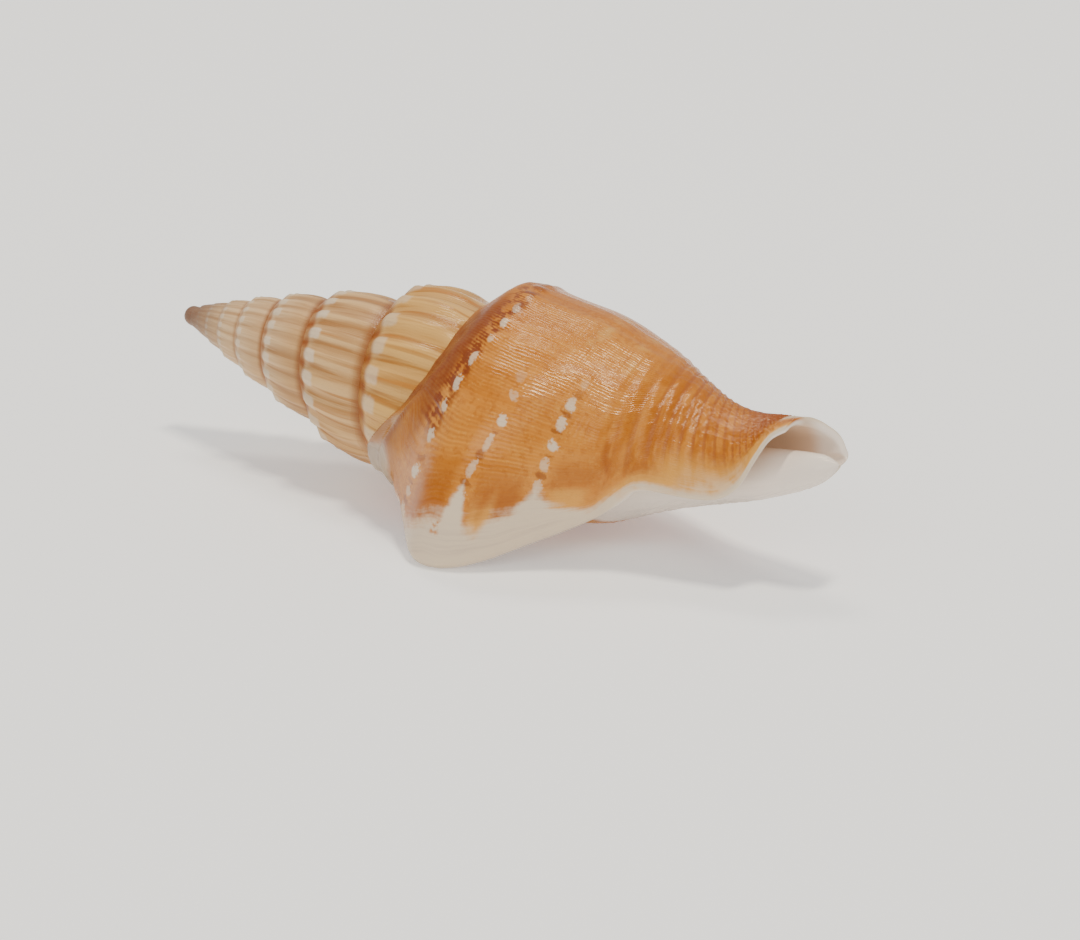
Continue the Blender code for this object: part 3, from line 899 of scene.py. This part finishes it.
        joint = joint * (1.0 - turns.ease(2.0, 5.0) * 0.6)
        colour = self.mix(joint, colour, self.mix(0.5, DEEP_ORANGE, SHOULDER))
        # Painted shade at the front of each whorl, in the next whorl's shadow.
        shaded = share.ease(0.84, 1.0) * 0.8 * turns.band(3.0, 1.0, 2.5) * turns.ease(1.9, 2.0)
        return self.mix(shaded, colour, SHOULDER)

    def mouth(self, colour):
        """The mouth is glazed white, with painted tan shade deep inside the canal."""
        glaze = self.mix(self.deep_shade_and_glow * 0.95, self.mix(self.corner * 0.7, GLAZE, EDGE_GREY), THROAT_SHADE_AND_GLOW)
        late = self.corner * 0.4 + self.run.band(0.80, 0.12, 0.06) * self.back.ease(30.0, 15.0) * 0.2
        return self.mix((self.side - late).ease(0.1, 0.5), colour, glaze)

    def colour(self):
        colour = self.base_colour()
        colour = self.flames(colour)
        colour = self.shoulder_slope(colour)
        colour = self.front_end(colour)
        colour = self.dashes(colour)
        colour = self.white_margin(colour)
        colour = self.underside(colour)
        colour = self.mix(self.turns.ease(1.001, 0.999), self.spire_colour(), colour)
        colour = self.mix(self.along.ease(-29.8, -36.0) * 0.92, colour, TIP_MAUVE)
        return self.mouth(colour)

    def fine_relief(self):
        """Fine lines of growth and faint rings, strongest outside."""
        run, back, mottle = self.run, self.back, self.mottle
        outside = self.side.ease(0.3, 0.0)
        rings = (run * 598.0 + self.drift * 6.0 + mottle * 3.0).sin() * 0.5 + 0.5
        rings = rings * run.band(0.40, 0.10, 0.06) * self.cloud.ease(0.4, 0.6)
        glints = run.band(0.36, 0.16, 0.06) * back.band(84.0, 20.0, 10.0)
        lines = self.comb * (0.10 + self.combed * 0.12 + glints * 0.2)
        relief = lines + rings * 0.06 + self.fine * (0.6 + glints * 0.5) + mottle * 0.16 + self.grain * 0.06
        return self.node("ShaderNodeBump", None, {
            "Strength": RELIEF_STRENGTH, "Distance": RELIEF_DEPTH, "Height": relief * (outside + 0.1)})


def shell_surface():
    shell = ShellPaint()
    shell.set_surface({
        "Base Color": shell.colour(),
        # A painted glow deep in the canal, as of light coming through the thin wall.
        "Emission Color": shell.mix(shell.deep_shade_and_glow * shell.side.ease(0.4, 0.9), DARK, THROAT_SHADE_AND_GLOW),
        "Emission Strength": MOUTH_GLOW,
        "Roughness": 0.16 + shell.mottle * 0.12 + shell.slope * 0.2,
        "Normal": shell.fine_relief(),
        "Specular IOR Level": 0.4,
        "Specular Tint": WARM_SHEEN,
        "Coat Weight": 0.03,
        "Coat Roughness": 0.16,
    })
    return shell.material


def floor_surface():
    floor = Bench("pale_floor")
    floor.set_surface({
        "Base Color": (0.93, 0.93, 0.92, 1),
        "Roughness": 0.7,
        "Emission Color": (1, 1, 1, 1),
        "Emission Strength": 0.3,
    })
    return floor.material


# ---- The studio ----

VIEW_AZIMUTH = -60.07
VIEW_ELEVATION = 19.72
VIEW_ROLL = 2.62
VIEW_DISTANCE = 0.9
VIEW_TARGET = (0.00379, 0.00332, 0.00490)
VIEW_END = 20.0
LENS = 314.1
FLOOR_SIZE = 6.0
ROOM_COLOUR = (0.99, 0.995, 1.0, 1)
ROOM_STRENGTH = 0.5
# Name, azimuth, elevation, distance, size, watts, colour.
LIGHTS = (
    ("softbox", -14, 82, 1.0, (0.20, 0.10), 6.5, (1.0, 0.93, 0.80)),
    ("back_softbox", 130, 62, 1.0, (0.30, 0.20), 2.5, (1.0, 0.94, 0.84)),
    ("front_fill", -75, 30, 1.2, (0.8, 0.5), 4.0, (0.98, 0.99, 1.0)),
)


def heading(azimuth, elevation):
    """The direction from the shell at these angles, in degrees."""
    around, up = math.radians(azimuth), math.radians(elevation)
    return Vector((math.cos(up) * math.cos(around), math.cos(up) * math.sin(around), math.sin(up)))


def place_camera():
    deselect()
    bpy.ops.object.camera_add()
    camera = bpy.context.object
    camera.name = "view"
    camera.data.lens = LENS
    camera.data.clip_end = VIEW_END
    direction = heading(VIEW_AZIMUTH, VIEW_ELEVATION)
    camera.location = Vector(VIEW_TARGET) + direction * VIEW_DISTANCE
    camera.rotation_mode = "QUATERNION"
    roll = Euler((0, 0, math.radians(VIEW_ROLL))).to_quaternion()
    camera.rotation_quaternion = direction.to_track_quat("Z", "Y") @ roll
    bpy.context.scene.camera = camera


def soft_light(name, azimuth, elevation, distance, size, watts, colour):
    deselect()
    bpy.ops.object.light_add(type="AREA")
    light = bpy.context.object
    light.name = name
    light.data.shape = "RECTANGLE"
    light.data.size, light.data.size_y = size
    light.data.energy = watts
    light.data.color = colour
    direction = heading(azimuth, elevation)
    light.location = direction * distance
    light.rotation_euler = direction.to_track_quat("Z", "Y").to_euler()


def light_studio():
    world = bpy.data.worlds.new("soft_room")
    bpy.context.scene.world = world
    world.use_nodes = True
    background = world.node_tree.nodes["Background"]
    background.inputs["Color"].default_value = ROOM_COLOUR
    background.inputs["Strength"].default_value = ROOM_STRENGTH
    for light in LIGHTS:
        soft_light(*light)


def lay_floor():
    deselect()
    bpy.ops.mesh.primitive_plane_add(size=FLOOR_SIZE, location=(0, 0, 0))
    floor = bpy.context.object
    floor.name = "floor"
    floor.data.materials.append(floor_surface())


place_camera()
light_studio()
lay_floor()
shell = make_shell()
shell.data.materials.clear()
shell.data.materials.append(shell_surface())
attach(shell, "root")
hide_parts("shell")
